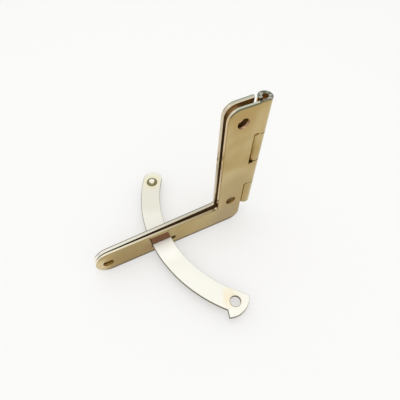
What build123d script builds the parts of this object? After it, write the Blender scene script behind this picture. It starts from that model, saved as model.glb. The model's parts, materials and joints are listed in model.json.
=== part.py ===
from build123d import *
import os
from math import asin, cos, degrees, radians, sin

# A box hinge with a curved stay, closed: two L-shaped leaves of pressed sheet lie face to face on one pin.
# All sizes are in millimetres and degrees.
# Working frame: the pin's axis is Z, the arms run along -X, the box leaf's outer face looks along -Y,
# and the arms' lower edges are at height 0.

# Sheet, pin and knuckles
sheet = 1.0
pin_diameter = 1.4
pin_play = 0.025
pin_recess = 0.7
pin_chamfer = 0.15
knuckle_count = 4
knuckle_gap = 0.2
knuckle_relief = 0.3
roll_gap = 0.3
root_notch_width = 1.1
root_notch_height = 0.9
barrel_bottom = 6.7

# Leaf outline
arm_length = 46.7
arm_width = 8.4
leg_width = 9.7
leg_height = 44.3
leg_corner_radius = 3.0
heel_radius = 3.2
crook_radius = 0.8
edge_break = 0.15

# Screw holes, countersunk from the inner face
screw_hole_diameter = 3.0
countersink_diameter = 3.8
leg_hole_inset = 5.7
leg_hole_drop = 4.3
leg_hole_spacing = 29.2
arm_hole_inset = 3.4

# Slot for the stay
slot_height = 1.4
slot_top_margin = 4.3
slot_outer_play = 0.2
slot_inner_play = 1.45
slot_corner_radius = 0.5

# Stay: a flat arc that crosses the closed leaves, with its hooked head at the front and its rivet at the back
stay_reach = 27.6
stay_radius = 37.5
stay_width = 5.8
stay_thickness = 0.9
stay_floor_play = 0.2
stay_edge_break = 0.15
hook_angle = 42.2
hook_reach = 1.75
hook_land = 1.05
head_length = 4.1
head_bulge = 1.65
head_corner_radius = 0.6
head_hole_diameter = 2.8
head_hole_setback = 1.1
rivet_angle = 31.1
tail_length = 4.25

# Stop rivet
rivet_shank_diameter = 1.9
rivet_play = 0.02
rivet_head_diameter = 3.4
rivet_head_height = 0.6
rivet_crown_diameter = 1.7
rivet_dome_bulge = 0.12
rivet_foot_height = 0.7
rivet_edge_break = 0.2

# Gap between the tips of the closed arms
tip_gap = 0.15

# Worked out from the sizes above
bore_radius = pin_diameter / 2 + pin_play
knuckle_radius = bore_radius + sheet
knuckle_pitch = (leg_height - barrel_bottom) / knuckle_count
neck = knuckle_radius + knuckle_relief
tip_radius = arm_width / 2
slot_floor = arm_width - slot_top_margin - slot_height
stay_inner = stay_radius - stay_width / 2
stay_outer = stay_radius + stay_width / 2
stay_centre = stay_radius - stay_reach
stay_floor = slot_floor + stay_floor_play
stay_roof = stay_floor + stay_thickness
leg_hole_top = leg_height - leg_hole_drop
leg_hole_bottom = leg_hole_top - leg_hole_spacing
rivet_radius = rivet_head_diameter / 2
tail_angle = rivet_angle + degrees((tail_length - stay_width / 2) / stay_radius)

# The closed lid leaf leans in until the tips nearly touch
closing_angle = degrees(asin((2 * bore_radius - tip_gap) / arm_length))

leaf_plane = Plane.XZ.offset(bore_radius)


def nearest_corner(shape, x, y):
    return shape.vertices().sort_by_distance((x, y, 0))[0]


def knuckle_span(index):
    top = leg_height - index * knuckle_pitch
    low = top - knuckle_pitch
    upper_gap = 0 if index == 0 else knuckle_gap / 2
    lower_gap = 0 if index == knuckle_count - 1 else knuckle_gap / 2
    return low + lower_gap, top - upper_gap


def leaf_outline(spans):
    arm_run = arm_length - tip_radius
    arm = Pos(-(arm_run + neck) / 2, tip_radius) * Rectangle(arm_run - neck, arm_width)
    tip = Pos(-arm_run, tip_radius) * Circle(tip_radius)
    leg = Pos(-(leg_width + neck) / 2, leg_height / 2) * Rectangle(leg_width - neck, leg_height)
    outline = arm + tip + leg
    outline = fillet(nearest_corner(outline, -leg_width, arm_width), crook_radius)
    outline = fillet(nearest_corner(outline, -leg_width, leg_height), leg_corner_radius)
    outline = fillet(nearest_corner(outline, -neck, 0), heel_radius)
    for low, top in spans:
        outline += Pos(-neck / 2, (low + top) / 2) * Rectangle(neck, top - low)
    # A small notch frees the root of each knuckle before it is rolled
    for index in range(1, knuckle_count):
        split = leg_height - index * knuckle_pitch
        notch = Rectangle(root_notch_width, root_notch_height)
        outline -= Pos(root_notch_width / 2 - neck, split) * notch
    return outline


def screw_places():
    yield -leg_hole_inset, leg_hole_top
    yield -leg_hole_inset, leg_hole_bottom
    yield -(arm_length - arm_hole_inset), tip_radius


def slot_outline():
    outer = stay_reach + stay_width / 2 + slot_outer_play
    inner = stay_reach - stay_width / 2 - slot_inner_play
    middle = Pos(-(outer + inner) / 2, slot_floor + slot_height / 2)
    return middle * RectangleRounded(outer - inner, slot_height, slot_corner_radius)


def rolled_knuckle(low, top):
    # The roll runs from the outer face round the pin and stops short of the sheet it came from
    end_angle = asin((bore_radius - roll_gap) / knuckle_radius)
    reach = 2 * knuckle_radius
    mouth = Polyline(
        (0, 0),
        (-reach * cos(end_angle), -reach * sin(end_angle)),
        (-reach, -reach),
        (0, -reach),
        close=True,
    )
    ring = Circle(knuckle_radius) - Circle(bore_radius) - make_face(mouth)
    return extrude(Pos(0, 0, low) * ring, top - low)


def broken_rim(leaf):
    # The pressed outline is broken on both faces, away from the knuckles
    rim = []
    for face in leaf.faces().filter_by(Axis.Y).sort_by(SortBy.AREA)[-2:]:
        rim += [edge for edge in face.outer_wire().edges() if edge.bounding_box().max.X < -neck + edge_break]
    return chamfer(rim, edge_break)


def make_leaf(first_knuckle):
    spans = [knuckle_span(index) for index in range(first_knuckle, knuckle_count, 2)]
    outline = leaf_outline(spans) - slot_outline()
    for x, height in screw_places():
        outline -= Pos(x, height) * Circle(screw_hole_diameter / 2)
    leaf = extrude(leaf_plane * outline, sheet)
    leaf = broken_rim(leaf)
    for low, top in spans:
        leaf += rolled_knuckle(low, top)
    depth = (countersink_diameter - screw_hole_diameter) / 2
    cone = Cone(countersink_diameter / 2, screw_hole_diameter / 2, depth)
    for x, height in screw_places():
        leaf -= leaf_plane * Pos(x, height, depth / 2) * cone
    return leaf


def make_box_leaf():
    return make_leaf(first_knuckle=0)


def make_lid_leaf():
    return Rot(0, 0, closing_angle) * mirror(make_leaf(first_knuckle=1), about=Plane.XZ)


def make_pin():
    length = leg_height - barrel_bottom - 2 * pin_recess
    pin = Pos(0, 0, (leg_height + barrel_bottom) / 2) * Cylinder(pin_diameter / 2, length)
    return chamfer(pin.edges().filter_by(GeomType.CIRCLE), pin_chamfer)


def on_stay(radius, angle):
    # Angles run about the stay's own centre from the closed arms: positive to the front, negative to the back
    return stay_centre - radius * cos(radians(angle)), -radius * sin(radians(angle))


def from_shoulder(radius, along):
    # A place on the head, from the radial line of the hook's shoulder
    x, y = on_stay(radius, hook_angle)
    return x + along * sin(radians(hook_angle)), y - along * cos(radians(hook_angle))


def stay_outline():
    middle = (hook_angle - tail_angle) / 2
    outer_arc = ThreePointArc(
        on_stay(stay_outer, hook_angle),
        on_stay(stay_outer, middle),
        on_stay(stay_outer, -tail_angle),
    )
    tail = ThreePointArc(
        on_stay(stay_outer, -tail_angle),
        on_stay(stay_radius, -tail_angle - degrees(stay_width / 2 / stay_radius)),
        on_stay(stay_inner, -tail_angle),
    )
    inner_arc = ThreePointArc(
        on_stay(stay_inner, -tail_angle),
        on_stay(stay_inner, middle),
        on_stay(stay_inner, hook_angle),
    )
    hook_tip = from_shoulder(stay_outer + hook_reach, hook_land)
    head_corner = from_shoulder(stay_inner, head_length)
    head_side = Line(on_stay(stay_inner, hook_angle), head_corner)
    head_end = SagittaArc(head_corner, hook_tip, head_bulge)
    shoulder = Line(hook_tip, on_stay(stay_outer, hook_angle))
    outline = make_face(outer_arc + tail + inner_arc + head_side + head_end + shoulder)
    return fillet(nearest_corner(outline, *head_corner), head_corner_radius)


def make_stay():
    outline = stay_outline()
    hole_place = from_shoulder(stay_radius, head_hole_setback)
    outline -= Pos(*hole_place) * Circle(head_hole_diameter / 2)
    outline -= Pos(*on_stay(stay_radius, -rivet_angle)) * Circle(rivet_shank_diameter / 2 + rivet_play)
    stay = extrude(Pos(0, 0, stay_floor) * outline, stay_thickness)
    rim = []
    for face in stay.faces().filter_by(Axis.Z):
        rim += face.outer_wire().edges()
    return chamfer(rim, stay_edge_break)


def make_rivet():
    # A shank through the stay, with a domed head above it and a flat foot formed below it
    low = stay_floor - rivet_foot_height
    top = stay_roof + rivet_head_height
    shank_radius = rivet_shank_diameter / 2
    crown_radius = rivet_crown_diameter / 2
    side = Polyline(
        (0, low),
        (rivet_radius, low),
        (rivet_radius, stay_floor),
        (shank_radius, stay_floor),
        (shank_radius, stay_roof),
        (rivet_radius, stay_roof),
    )
    dome = SagittaArc((rivet_radius, stay_roof), (crown_radius, top), -rivet_dome_bulge)
    middle = Polyline((crown_radius, top), (0, top), (0, low))
    rivet = revolve(Plane.XZ * make_face(side + dome + middle), Axis.Z)
    rivet = chamfer(rivet.edges().filter_by(GeomType.CIRCLE).sort_by(Axis.Z)[0], rivet_edge_break)
    return Pos(*on_stay(stay_radius, -rivet_angle)) * rivet


# The origin is moved to the middle of the box leaf's two leg holes, on its outer face
to_origin = Pos(leg_hole_inset, knuckle_radius, -(leg_hole_top + leg_hole_bottom) / 2)

pieces = {
    "box_leaf": make_box_leaf(),
    "lid_leaf": make_lid_leaf(),
    "hinge_pin": make_pin(),
    "quadrant_stay": make_stay(),
    "stop_rivet": make_rivet(),
}

os.makedirs("parts", exist_ok=True)
for name, piece in pieces.items():
    export_step(to_origin * piece, f"parts/{name}.step")

print("pin axis from the origin:", leg_hole_inset, knuckle_radius)
print("closed lid leaf leans in by", closing_angle, "degrees")
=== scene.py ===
import json
import math

import bmesh
import bpy
from mathutils import Matrix, Vector


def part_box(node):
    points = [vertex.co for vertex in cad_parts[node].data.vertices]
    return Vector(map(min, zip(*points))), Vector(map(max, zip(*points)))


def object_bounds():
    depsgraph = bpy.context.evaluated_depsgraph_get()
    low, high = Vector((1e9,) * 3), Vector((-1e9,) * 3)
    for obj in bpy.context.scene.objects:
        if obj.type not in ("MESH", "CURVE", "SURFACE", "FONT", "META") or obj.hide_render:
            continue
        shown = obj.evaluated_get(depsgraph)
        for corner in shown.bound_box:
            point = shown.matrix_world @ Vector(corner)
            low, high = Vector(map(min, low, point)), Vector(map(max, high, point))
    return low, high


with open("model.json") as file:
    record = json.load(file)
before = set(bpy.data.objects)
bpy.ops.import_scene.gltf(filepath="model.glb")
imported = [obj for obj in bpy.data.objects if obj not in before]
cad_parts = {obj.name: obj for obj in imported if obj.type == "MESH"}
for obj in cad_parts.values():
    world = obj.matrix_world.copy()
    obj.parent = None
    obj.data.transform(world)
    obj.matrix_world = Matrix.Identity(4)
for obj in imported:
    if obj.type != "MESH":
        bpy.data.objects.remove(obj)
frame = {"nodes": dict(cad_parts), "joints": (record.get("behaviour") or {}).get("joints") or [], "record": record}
nodes = frame["nodes"]
cadBox = [list(corner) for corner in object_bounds()]
millimetre = 0.001
print("frame loaded:", ", ".join(sorted(nodes)))

# Where the pieces are, read from the frame
mounts = {mount["name"]: mount for mount in frame["record"]["mounts"]}
joints = {joint["name"]: joint for joint in frame["joints"]}
pinPlace = Vector(joints["lid_swing"]["pos_m"])
knuckleRadius = pinPlace.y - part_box("box_leaf")[0].y
rivetLow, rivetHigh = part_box("stop_rivet")
rivetMiddle = (rivetLow + rivetHigh) / 2
armBottom = cadBox[0][2]
legTop = cadBox[1][2]

# Directions, and the axes that a distance counts
upWay = (0.0, 0.0, 1.0)
acrossWay = (1.0, 0.0, 0.0)
allAxes = (1.0, 1.0, 1.0)
faceAxes = (1.0, 0.0, 1.0)  # on a leaf's face, whatever the depth
planAxes = (1.0, 1.0, 0.0)  # seen from above, whatever the height


# Small helpers for building node trees

def addNode(tree, kind, **values):
    made = tree.nodes.new(kind)
    for name, value in values.items():
        setattr(made, name, value)
    return made


def plug(tree, value, socket):
    # a socket is linked, anything else is set as the socket's own value
    if isinstance(value, bpy.types.NodeSocket):
        tree.links.new(value, socket)
    else:
        socket.default_value = value


def maths(tree, operation, first, second=0.0):
    made = addNode(tree, "ShaderNodeMath", operation=operation)
    plug(tree, first, made.inputs[0])
    plug(tree, second, made.inputs[1])
    return made.outputs[0]


def fade(tree, value, start, end, low=0.0, high=1.0):
    # a smooth step from low at start to high at end
    made = addNode(tree, "ShaderNodeMapRange", interpolation_type="SMOOTHSTEP")
    plug(tree, value, made.inputs["Value"])
    made.inputs["From Min"].default_value = start
    made.inputs["From Max"].default_value = end
    made.inputs["To Min"].default_value = low
    made.inputs["To Max"].default_value = high
    return made.outputs["Result"]


def tone(red, green, blue):
    return (red, green, blue, 1.0)


def mixTone(tree, share, first, second):
    made = addNode(tree, "ShaderNodeMix", data_type="RGBA")
    plug(tree, share, made.inputs["Factor"])
    plug(tree, first, made.inputs["A"])
    plug(tree, second, made.inputs["B"])
    return made.outputs["Result"]


def grain(tree, place, size, detail=3.0, stretch=allAxes):
    # noise whose features are about size metres across, drawn out by stretch
    mapping = addNode(tree, "ShaderNodeMapping")
    mapping.inputs["Scale"].default_value = [1.0 / (size * pull) for pull in stretch]
    plug(tree, place, mapping.inputs["Vector"])
    noise = addNode(tree, "ShaderNodeTexNoise")
    noise.inputs["Scale"].default_value = 1.0
    noise.inputs["Detail"].default_value = detail
    plug(tree, mapping.outputs["Vector"], noise.inputs["Vector"])
    return noise.outputs["Fac"]


def along(tree, vector, way):
    # how far a vector points along a fixed direction
    made = addNode(tree, "ShaderNodeVectorMath", operation="DOT_PRODUCT")
    plug(tree, vector, made.inputs[0])
    made.inputs[1].default_value = way
    return made.outputs["Value"]


def distanceFrom(tree, place, spot, axes=allAxes):
    # the distance of a place from a spot, with some axes left out or counted less
    scaled = addNode(tree, "ShaderNodeVectorMath", operation="MULTIPLY")
    plug(tree, place, scaled.inputs[0])
    scaled.inputs[1].default_value = axes
    made = addNode(tree, "ShaderNodeVectorMath", operation="DISTANCE")
    plug(tree, scaled.outputs["Vector"], made.inputs[0])
    made.inputs[1].default_value = [value * weight for value, weight in zip(spot, axes)]
    return made.outputs["Value"]


def bump(tree, height, strength, depth, below=None):
    made = addNode(tree, "ShaderNodeBump")
    made.inputs["Strength"].default_value = strength
    made.inputs["Distance"].default_value = depth
    plug(tree, height, made.inputs["Height"])
    if below is not None:
        plug(tree, below, made.inputs["Normal"])
    return made.outputs["Normal"]


def spotAt(x, y, z):
    return Vector((x, y, z)) * millimetre


# Plated brass, the metal of every piece

platingGrain = {
    "driftSpan": (0.36, 0.64),  # noise levels between which the two tones blend
    "lineSpan": (0.3, 0.7),
    "fineDetail": 2.0,
    "stainCore": 0.4,  # share of a stain's reach that has its full tone
}


def platedBrass(name, finish, detail):
    # detail(tree, place, normal, colour) adds the piece's own tones and its painted light and shade, and says
    # where its metal is raw
    material = bpy.data.materials.new(name)
    material.use_nodes = True
    tree = material.node_tree
    tree.nodes.clear()
    coordinates = addNode(tree, "ShaderNodeTexCoord")
    place = coordinates.outputs["Object"]

    # the plating drifts between two tones over the face, and has stains and painted patches of light and shade
    drift = fade(tree, grain(tree, place, finish["driftSize"]), *platingGrain["driftSpan"])
    colour = mixTone(tree, drift, tone(*finish["face"]), tone(*finish["drift"]))
    for spot, reach, share, patchTone in finish["stainsAndPaintedLight"]:
        away = distanceFrom(tree, place, spot)
        ring = fade(tree, away, reach, reach * platingGrain["stainCore"], 0.0, share)
        colour = mixTone(tree, ring, colour, tone(*patchTone))
    colour, raw = detail(tree, place, coordinates.outputs["Normal"], colour)

    # polishing lines and a slight peel break up the reflections
    lines = grain(tree, place, finish["lineWidth"], platingGrain["fineDetail"], finish["lineStretch"])
    peel = grain(tree, place, finish["peelSize"], platingGrain["fineDetail"])
    rough = fade(tree, lines, *platingGrain["lineSpan"], finish["smooth"], finish["dull"])
    rough = maths(tree, "ADD", rough, maths(tree, "MULTIPLY", raw, finish["rawDull"]))
    relief = bump(tree, lines, finish["lineStrength"], finish["lineDepth"])
    relief = bump(tree, peel, finish["peelStrength"], finish["peelDepth"], relief)

    shader = addNode(tree, "ShaderNodeBsdfPrincipled")
    shader.inputs["Metallic"].default_value = finish["metal"]
    plug(tree, colour, shader.inputs["Base Color"])
    plug(tree, rough, shader.inputs["Roughness"])
    plug(tree, relief, shader.inputs["Normal"])
    output = addNode(tree, "ShaderNodeOutputMaterial")
    plug(tree, shader.outputs["BSDF"], output.inputs["Surface"])
    return material


def dress(node, material):
    slots = nodes[node].data.materials
    if len(slots):
        slots[0] = material
    else:
        slots.append(material)


# The two leaves. A span gives the values at which a fade starts and ends.

holeSpots = [spotAt(0.0, 0.0, 14.6), spotAt(0.0, 0.0, -14.6), spotAt(-37.6, 0.0, -21.2)]
holeStains = [(spot, 4.2 * millimetre, 0.5, (0.44, 0.29, 0.11)) for spot in holeSpots]
slotSpot = spotAt(-21.275, 0.0, -22.0)
notchSpots = [spotAt(4.2, 0.775, height) for height in (9.65, 0.25, -9.15)]

leafFinish = {
    # faces, with stains and painted patches of light and shade given by spot, reach, share and tone
    "face": (0.44, 0.312, 0.12),
    "drift": (0.54, 0.425, 0.21),
    "driftSize": 13 * millimetre,
    "stainsAndPaintedLight": holeStains + [
        (spotAt(-31.0, 0.0, -21.5), 9.0 * millimetre, 0.75, (0.34, 0.235, 0.08)),
        (spotAt(0.0, 0.0, -22.0), 9.0 * millimetre, 0.65, (0.37, 0.275, 0.14)),
        (spotAt(1.0, 0.0, -9.0), 8.0 * millimetre, 0.7, (0.42, 0.315, 0.14)),
        (spotAt(-12.0, 0.0, -21.5), 9.0 * millimetre, 0.7, (0.45, 0.33, 0.13)),
        # a painted reflection of the stay beside the slot
        (spotAt(-25.3, 0.0, -22.0), 3.0 * millimetre, 0.6, (0.38, 0.22, 0.10)),
        # a painted highlight at the arm's end
        (spotAt(-41.0, 0.0, -21.0), 4.6 * millimetre, 0.85, (0.74, 0.60, 0.36)),
    ],
    "inner": (0.50, 0.345, 0.15),
    "innerSpan": (-0.7, -0.95),
    # cut edges, and the broken corners beside them, with painted highlights, painted dark lines and painted shade
    # along the arm's lower border
    "edgeSpan": (0.5, 0.2),
    "cornerSpan": (0.9, 0.8),
    "upwardSpan": (0.3, 0.65),
    "bendHighlight": (0.80, 0.69, 0.52),
    "bendSpan": (0.97, 0.85),
    "sideCorner": (0.36, 0.25, 0.11),
    "tipCornerHighlight": (0.62, 0.52, 0.32),
    "tipSpan": (-5.0 * millimetre, -44.0 * millimetre),
    "tipSideSpan": (-30.0 * millimetre, -40.0 * millimetre),
    "darkLine": (0.42 * millimetre, 0.2 * millimetre),
    "paintedLowShade": (0.17, 0.115, 0.06),
    "lowSpan": (1.3 * millimetre, 0.5 * millimetre),
    # walls of the screw holes and of the slot, with a painted highlight on the top hole's wall and painted shade
    # on the slot's wall
    "wallSpan": (0.95, 0.85),
    "holeWallHighlight": (0.80, 0.60, 0.42),
    "holeWallLow": (0.52, 0.35, 0.11),
    "holeReach": 2.1 * millimetre,
    "slotWallShade": (0.32, 0.18, 0.065),
    "slotReach": 1.05 * millimetre,
    "slotAxes": (0.19, 0.0, 1.0),  # the slot's length counts less, so that its wall is all in reach
    # rolled knuckles, with a painted highlight on the uppermost end inside a painted dark rim, and painted shade
    # in the notches
    "rollShare": 1.2,  # the roll starts this many radii from the pin
    "rollEndSpan": (0.6, 0.9),
    "splitRollEnd": (0.50, 0.36, 0.17),
    "topRollEndHighlight": (0.44, 0.44, 0.37),
    "topRollDepth": 0.5 * millimetre,
    "mottle": (0.13, 0.14, 0.09),
    "mottleSize": 0.55 * millimetre,
    "mottleSpan": (0.44, 0.56),
    "rollRim": (0.13, 0.13, 0.08),
    "rollRimShares": (0.84, 0.97),  # of the knuckle's radius
    "notch": (0.34, 0.17, 0.06),
    "notchReach": 0.95 * millimetre,
    # polish
    "lineWidth": 0.12 * millimetre,
    "lineStretch": (1.0, 1.0, 18.0),
    "lineStrength": 0.08,
    "lineDepth": 0.003 * millimetre,
    "peelSize": 1.6 * millimetre,
    "peelStrength": 0.15,
    "peelDepth": 0.008 * millimetre,
    "smooth": 0.09,
    "dull": 0.15,
    "rawDull": 0.32,
    "metal": 1.0,
}
# each leaf's edge tones: painted highlights on the top edges, bends and tip, and painted dark lines along the
# corners
boxLeafEdges = {
    "mount": "box_leaf_leg_screws",
    "legEdge": (0.57, 0.575, 0.47),
    "armEdge": (0.40, 0.325, 0.20),
    "tipHighlight": (0.98, 0.90, 0.70),
    "sideEdge": (0.64, 0.475, 0.265),
    "legCorner": (0.14, 0.14, 0.09),
    "armCorner": (0.42, 0.32, 0.15),
    "paintedReflection": True,
}
lidLeafEdges = {
    "mount": "lid_leaf_leg_screws",
    "legEdge": (0.52, 0.52, 0.42),
    "armEdge": (0.58, 0.55, 0.45),
    "tipHighlight": (0.95, 0.93, 0.82),
    "sideEdge": (0.62, 0.53, 0.385),
    "legCorner": (0.15, 0.15, 0.09),
    "armCorner": (0.13, 0.13, 0.08),
    "paintedReflection": False,
}
# a dark brown patch painted on the box leaf's outer face above the slot, the stay's painted reflection
paintedReflectionMark = {
    "tone": (0.155, 0.054, 0.008),
    "faceSpan": (0.8, 0.95),
    "left": -27.75 * millimetre,
    "right": -21.75 * millimetre,
    "low": -22.0 * millimetre,
    "high": -17.3 * millimetre,
    "lean": 0.13,
    "soft": 0.35 * millimetre,
}
rollStart = pinPlace.x - leafFinish["rollShare"] * knuckleRadius
rollTop = legTop - leafFinish["topRollDepth"]


def leafTone(name):
    return tone(*leafFinish[name])


def readLeaf(tree, place, normal, mount):
    # where a point of the leaf is, and which way the leaf faces there
    outward = Vector(mount["axis"])
    outerPlane = outward.dot(Vector(mount["pos_m"]))
    at = {
        "place": place,
        "level": along(tree, place, upWay),
        "across": along(tree, place, acrossWay),
        "rising": along(tree, normal, upWay),
        "facing": along(tree, normal, outward),
    }
    at["depth"] = maths(tree, "SUBTRACT", outerPlane, along(tree, place, outward))
    at["slant"] = maths(tree, "ABSOLUTE", at["facing"])
    at["flat"] = maths(tree, "LESS_THAN", at["across"], rollStart)
    at["high"] = maths(tree, "GREATER_THAN", at["level"], 0.0)
    return at


def paintedReflectionShare(tree, at):
    # a painted reflection of the stay on the outer face above the slot, leaning a little with its height
    soft = paintedReflectionMark["soft"]
    leaning = along(tree, at["place"], (1.0, 0.0, paintedReflectionMark["lean"]))
    share = fade(tree, at["facing"], *paintedReflectionMark["faceSpan"])
    for value, start, end in [
        (leaning, paintedReflectionMark["left"], paintedReflectionMark["left"] + soft),
        (leaning, paintedReflectionMark["right"], paintedReflectionMark["right"] - soft),
        (at["level"], paintedReflectionMark["low"], paintedReflectionMark["low"] + soft),
        (at["level"], paintedReflectionMark["high"], paintedReflectionMark["high"] - soft),
    ]:
        share = maths(tree, "MULTIPLY", share, fade(tree, value, start, end))
    return share


def paintedEdgeLight(tree, at, edges, low):
    # painted highlights: the edges are painted bright on top, more so round the bends and towards the tip, and
    # warmer at the sides
    upward = fade(tree, at["rising"], *leafFinish["upwardSpan"])
    bend = fade(tree, at["rising"], *leafFinish["bendSpan"])
    tipward = fade(tree, at["across"], *leafFinish["tipSpan"])
    tipSide = fade(tree, at["across"], *leafFinish["tipSideSpan"])
    legTone = mixTone(tree, bend, tone(*edges["legEdge"]), leafTone("bendHighlight"))
    armTone = mixTone(tree, bend, tone(*edges["armEdge"]), leafTone("bendHighlight"))
    armTone = mixTone(tree, tipward, armTone, tone(*edges["tipHighlight"]))
    sideTone = mixTone(tree, tipSide, tone(*edges["sideEdge"]), tone(*edges["tipHighlight"]))
    sideCorner = mixTone(tree, tipSide, leafTone("sideCorner"), leafTone("tipCornerHighlight"))
    topCorner = mixTone(tree, at["high"], tone(*edges["armCorner"]), tone(*edges["legCorner"]))

    # the top edge has a painted dark reflection line along the outer corner
    line = fade(tree, at["depth"], *leafFinish["darkLine"])
    edgeTone = mixTone(tree, at["high"], armTone, legTone)
    edgeTone = mixTone(tree, line, edgeTone, topCorner)
    edgeTone = mixTone(tree, upward, sideTone, edgeTone)

    # the inner corner is like the edge
    outer = maths(tree, "GREATER_THAN", at["facing"], 0.0)
    cornerTone = mixTone(tree, upward, sideCorner, topCorner)
    cornerTone = mixTone(tree, low, cornerTone, leafTone("paintedLowShade"))
    cornerTone = mixTone(tree, outer, edgeTone, cornerTone)
    return edgeTone, cornerTone


def openingWalls(tree, at):
    # where the walls of the screw holes and of the slot are, and their tone: a painted highlight on the top hole's
    # wall and painted shade on the slot's wall
    away = distanceFrom(tree, at["place"], slotSpot, leafFinish["slotAxes"])
    inSlot = maths(tree, "LESS_THAN", away, leafFinish["slotReach"])
    inOpening = inSlot
    for spot in holeSpots:
        away = distanceFrom(tree, at["place"], spot, faceAxes)
        inHole = maths(tree, "LESS_THAN", away, leafFinish["holeReach"])
        inOpening = maths(tree, "MAXIMUM", inOpening, inHole)
    wall = fade(tree, at["slant"], *leafFinish["wallSpan"])
    wall = maths(tree, "MULTIPLY", inOpening, wall)
    wallTone = mixTone(tree, at["high"], leafTone("holeWallLow"), leafTone("holeWallHighlight"))
    return wall, mixTone(tree, inSlot, wallTone, leafTone("slotWallShade"))


def rollEnds(tree, at):
    # the uppermost end is painted bright as a highlight and mottled inside a painted dark rim, and the ends at the
    # splits are plain
    rolled = maths(tree, "SUBTRACT", 1.0, at["flat"])
    ends = fade(tree, maths(tree, "ABSOLUTE", at["rising"]), *leafFinish["rollEndSpan"])
    ends = maths(tree, "MULTIPLY", ends, rolled)
    mottle = fade(tree, grain(tree, at["place"], leafFinish["mottleSize"]), *leafFinish["mottleSpan"])
    brightEnd = mixTone(tree, mottle, leafTone("topRollEndHighlight"), leafTone("mottle"))
    uppermost = maths(tree, "GREATER_THAN", at["level"], rollTop)
    endTone = mixTone(tree, uppermost, leafTone("splitRollEnd"), brightEnd)
    away = distanceFrom(tree, at["place"], pinPlace, planAxes)
    rim = fade(tree, away, *[knuckleRadius * share for share in leafFinish["rollRimShares"]])
    rim = maths(tree, "MULTIPLY", rim, uppermost)
    return ends, mixTone(tree, rim, endTone, leafTone("rollRim"))


def leafDetail(edges):
    def detail(tree, place, normal, colour):
        at = readLeaf(tree, place, normal, mounts[edges["mount"]])

        # the side that faces the other leaf was never buffed
        inside = fade(tree, at["facing"], *leafFinish["innerSpan"])
        inside = maths(tree, "MULTIPLY", inside, at["flat"])
        colour = mixTone(tree, inside, colour, leafTone("inner"))
        # the box leaf gets the painted reflection of the stay above its slot
        if edges["paintedReflection"]:
            colour = mixTone(tree, paintedReflectionShare(tree, at), colour, tone(*paintedReflectionMark["tone"]))

        # painted shade along the arm's lower border
        low = fade(tree, at["level"], *[armBottom + height for height in leafFinish["lowSpan"]])
        colour = mixTone(tree, low, colour, leafTone("paintedLowShade"))

        edgeTone, cornerTone = paintedEdgeLight(tree, at, edges, low)
        corner = fade(tree, at["slant"], *leafFinish["cornerSpan"])
        colour = mixTone(tree, maths(tree, "MULTIPLY", corner, at["flat"]), colour, cornerTone)
        edge = fade(tree, at["slant"], *leafFinish["edgeSpan"])
        colour = mixTone(tree, maths(tree, "MULTIPLY", edge, at["flat"]), colour, edgeTone)
        wall, wallTone = openingWalls(tree, at)
        colour = mixTone(tree, wall, colour, wallTone)
        ends, endTone = rollEnds(tree, at)
        colour = mixTone(tree, ends, colour, endTone)

        # painted shade: the notches at the splits are brown
        raw = maths(tree, "MAXIMUM", inside, wall)
        for spot in notchSpots:
            inNotch = maths(tree, "LESS_THAN", distanceFrom(tree, place, spot), leafFinish["notchReach"])
            colour = mixTone(tree, inNotch, colour, leafTone("notch"))
            raw = maths(tree, "MAXIMUM", raw, inNotch)
        return colour, raw

    return detail


dress("box_leaf", platedBrass("boxLeafPlating", leafFinish, leafDetail(boxLeafEdges)))
dress("lid_leaf", platedBrass("lidLeafPlating", leafFinish, leafDetail(lidLeafEdges)))
print("leaves plated")


# The stay, the rivet and the pin

brightPolish = {
    "driftSize": 12 * millimetre,
    "lineWidth": 0.15 * millimetre,
    "lineStretch": (6.0, 12.0, 1.0),
    "lineStrength": 0.08,
    "lineDepth": 0.003 * millimetre,
    "peelSize": 2.0 * millimetre,
    "peelStrength": 0.12,
    "peelDepth": 0.008 * millimetre,
    "rawDull": 0.1,
}


def paintedSideShading(tree, rising, colour, finish, cornerTone):
    # painted shade and highlights on the sides of a flat or turned piece, and on the slopes between them and its
    # top
    slant = maths(tree, "ABSOLUTE", rising)
    corner = fade(tree, slant, *finish["cornerSpan"])
    colour = mixTone(tree, corner, colour, cornerTone)
    edge = fade(tree, slant, *finish["edgeSpan"])
    return mixTone(tree, edge, colour, tone(*finish["edge"])), edge


headHole = spotAt(-11.44, -24.3, -21.6)
stayCentre = spotAt(15.6, 1.725, 0.0)  # middle of the stay's arc

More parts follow.
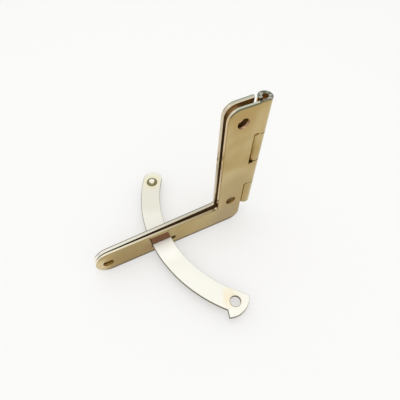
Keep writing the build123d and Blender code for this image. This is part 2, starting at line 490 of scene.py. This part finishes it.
stayFinish = {
    **brightPolish,
    "face": (0.865, 0.855, 0.785),
    "drift": (0.84, 0.83, 0.76),
    "stainsAndPaintedLight": [
        # a painted highlight on the stay where it passes the leaf, covering the shade there
        (spotAt(-21.5, -1.0, -21.6), 7.5 * millimetre, 1.0, (0.99, 0.985, 0.92)),
        (headHole, 4.4 * millimetre, 0.2, (0.84, 0.78, 0.60)),
        (spotAt(-12.1, -22.0, -21.6), 2.6 * millimetre, 0.6, (0.85, 0.75, 0.55)),
        (spotAt(-12.95, -23.7, -21.6), 2.2 * millimetre, 0.6, (0.85, 0.75, 0.55)),
        (spotAt(-19.4, 15.4, -21.6), 7.5 * millimetre, 0.8, (0.75, 0.735, 0.635)),
        (rivetMiddle, 4.2 * millimetre, 0.75, (0.80, 0.755, 0.52)),
    ],
    # painted shade on the underside, the sides and the outer corner, and a painted highlight on the inner corner
    "under": (0.30, 0.215, 0.105),
    "underSpan": (-0.8, -0.95),
    "edge": (0.15, 0.135, 0.095),
    "edgeSpan": (0.5, 0.2),
    "corner": (0.62, 0.60, 0.52),
    "cornerSpan": (0.9, 0.8),
    "outerCornerShade": (0.20, 0.18, 0.13),
    "outerSpan": (36.0 * millimetre, 39.5 * millimetre),  # from the middle of the arc
    # painted shade on the wall and rim of the hole in the head
    "holeWall": (0.12, 0.085, 0.045),
    "holeReach": 2.0 * millimetre,
    "holeRim": (0.34, 0.30, 0.20),
    "holeRimSpan": (1.66 * millimetre, 1.44 * millimetre),
    "smooth": 0.42,
    "dull": 0.5,
    "metal": 0.25,
}


def stayDetail(tree, place, normal, colour):
    # painted shade: the underside is painted dark, and the corner of the outer edge is painted darker than that of
    # the inner one
    rising = along(tree, normal, upWay)
    under = fade(tree, rising, *stayFinish["underSpan"])
    colour = mixTone(tree, under, colour, tone(*stayFinish["under"]))
    away = distanceFrom(tree, place, stayCentre, planAxes)
    outer = fade(tree, away, *stayFinish["outerSpan"])
    cornerTone = mixTone(tree, outer, tone(*stayFinish["corner"]), tone(*stayFinish["outerCornerShade"]))
    colour, edge = paintedSideShading(tree, rising, colour, stayFinish, cornerTone)

    # painted shade: the hole in the head has a darker rim and wall
    away = distanceFrom(tree, place, headHole, planAxes)
    rim = fade(tree, away, *stayFinish["holeRimSpan"])
    colour = mixTone(tree, rim, colour, tone(*stayFinish["holeRim"]))
    inHole = maths(tree, "LESS_THAN", away, stayFinish["holeReach"])
    wall = maths(tree, "MULTIPLY", edge, inHole)
    return mixTone(tree, wall, colour, tone(*stayFinish["holeWall"])), edge


dress("quadrant_stay", platedBrass("stayPlating", stayFinish, stayDetail))
print("stay plated")

# the rivet's slopes and sides are painted dark, a painted shade and reflection ring round its bright crown
rivetFinish = {
    **brightPolish,
    "face": (0.95, 0.93, 0.84),
    "drift": (0.91, 0.88, 0.78),
    "stainsAndPaintedLight": [],
    "edge": (0.26, 0.22, 0.11),
    "edgeSpan": (0.5, 0.3),
    "corner": (0.25, 0.22, 0.11),
    "cornerSpan": (0.999, 0.985),
    "smooth": 0.2,
    "dull": 0.3,
    "metal": 1.0,
}
# the pin is painted dark red-brown, the painted shade of its end down in the roll
pinFinish = {
    **rivetFinish,
    "face": (0.24, 0.11, 0.05),
    "drift": (0.32, 0.17, 0.08),
    "edge": (0.40, 0.27, 0.12),
    "corner": (0.30, 0.17, 0.08),
    "smooth": 0.28,
    "dull": 0.4,
}


def turnedDetail(finish):
    def detail(tree, place, normal, colour):
        rising = along(tree, normal, upWay)
        return paintedSideShading(tree, rising, colour, finish, tone(*finish["corner"]))

    return detail


dress("stop_rivet", platedBrass("rivetPlating", rivetFinish, turnedDetail(rivetFinish)))
dress("hinge_pin", platedBrass("pinWire", pinFinish, turnedDetail(pinFinish)))
print("rivet and pin finished")


# Floor, light and camera

floorFinish = {
    "reach": 4.0,  # metres each way
    "drop": 0.05 * millimetre,
    "colour": (0.88, 0.875, 0.865),
    "glow": 0.45,
}


def makeFloor():
    shape = bmesh.new()
    bmesh.ops.create_grid(shape, x_segments=1, y_segments=1, size=floorFinish["reach"])
    level = cadBox[0][2] - floorFinish["drop"]
    bmesh.ops.translate(shape, verts=shape.verts, vec=(0.0, 0.0, level))
    mesh = bpy.data.meshes.new("floor")
    shape.to_mesh(mesh)
    shape.free()
    floor = bpy.data.objects.new("floor", mesh)
    bpy.context.scene.collection.objects.link(floor)
    material = bpy.data.materials.new("floorPaper")
    material.use_nodes = True
    tree = material.node_tree
    tree.nodes.clear()
    paper = addNode(tree, "ShaderNodeBsdfDiffuse")
    white = addNode(tree, "ShaderNodeEmission")
    # seen by the camera, in metal and through glass the paper is near white, with a soft shadow left
    path = addNode(tree, "ShaderNodeLightPath")
    seen = maths(tree, "MAXIMUM", path.outputs["Is Camera Ray"], path.outputs["Is Glossy Ray"])
    seen = maths(tree, "MAXIMUM", seen, path.outputs["Is Transmission Ray"])
    blend = addNode(tree, "ShaderNodeMixShader")
    plug(tree, tone(*floorFinish["colour"]), paper.inputs["Color"])
    plug(tree, maths(tree, "MULTIPLY", seen, floorFinish["glow"]), blend.inputs["Fac"])
    plug(tree, paper.outputs["BSDF"], blend.inputs[1])
    plug(tree, white.outputs["Emission"], blend.inputs[2])
    output = addNode(tree, "ShaderNodeOutputMaterial")
    plug(tree, blend.outputs["Shader"], output.inputs["Surface"])
    mesh.materials.append(material)


makeFloor()

roomLight = {
    "strength": 0.95,
    "overhead": (1.0, 1.0, 0.985),
    "low": (0.8, 0.8, 0.79),
    "heights": (0.25, 0.7),  # how far up a direction points, 0 at the horizon and 1 overhead
}


def makeRoom():
    # a soft white room, darker towards the horizon, which the edges pick up
    world = bpy.data.worlds.new("room")
    bpy.context.scene.world = world
    world.use_nodes = True
    tree = world.node_tree
    tree.nodes.clear()
    way = addNode(tree, "ShaderNodeTexCoord").outputs["Generated"]
    level = fade(tree, along(tree, way, upWay), *roomLight["heights"])
    colour = mixTone(tree, level, tone(*roomLight["low"]), tone(*roomLight["overhead"]))
    background = addNode(tree, "ShaderNodeBackground")
    background.inputs["Strength"].default_value = roomLight["strength"]
    plug(tree, colour, background.inputs["Color"])
    output = addNode(tree, "ShaderNodeOutputWorld")
    plug(tree, background.outputs["Background"], output.inputs["Surface"])


makeRoom()

softBox = {
    "place": (-0.017, 0.0, 0.42),  # metres, above the middle of the part
    "side": 0.25,
    "power": 0.36,
}


def makeSoftBox():
    lamp = bpy.data.lights.new("softBox", "AREA")
    lamp.shape = "SQUARE"
    lamp.size = softBox["side"]
    lamp.energy = softBox["power"]
    holder = bpy.data.objects.new("softBox", lamp)
    holder.location = softBox["place"]
    bpy.context.scene.collection.objects.link(holder)


makeSoftBox()

cameraView = {
    "place": (-33.135 * millimetre, -43.147 * millimetre, 63.986 * millimetre),
    "heading": -28.238,  # degrees from the Y axis
    "elevation": 55.801,
    "roll": 2.169,
    "lens": 29.767,
    "sensor": 36.0,
    "nearest": 1.0 * millimetre,
}


def makeCamera():
    lens = bpy.data.cameras.new("camera")
    lens.lens = cameraView["lens"]
    lens.sensor_width = cameraView["sensor"]
    lens.sensor_fit = "HORIZONTAL"
    lens.clip_start = cameraView["nearest"]
    camera = bpy.data.objects.new("camera", lens)
    turn = Matrix.Rotation(math.radians(cameraView["heading"]), 4, "Z")
    tilt = Matrix.Rotation(math.radians(90.0 - cameraView["elevation"]), 4, "X")
    roll = Matrix.Rotation(math.radians(cameraView["roll"]), 4, "Z")
    camera.matrix_world = Matrix.Translation(cameraView["place"]) @ turn @ tilt @ roll
    bpy.context.scene.collection.objects.link(camera)
    bpy.context.scene.camera = camera


makeCamera()
bpy.context.scene.view_settings.view_transform = "Standard"
print("floor, light and camera placed")
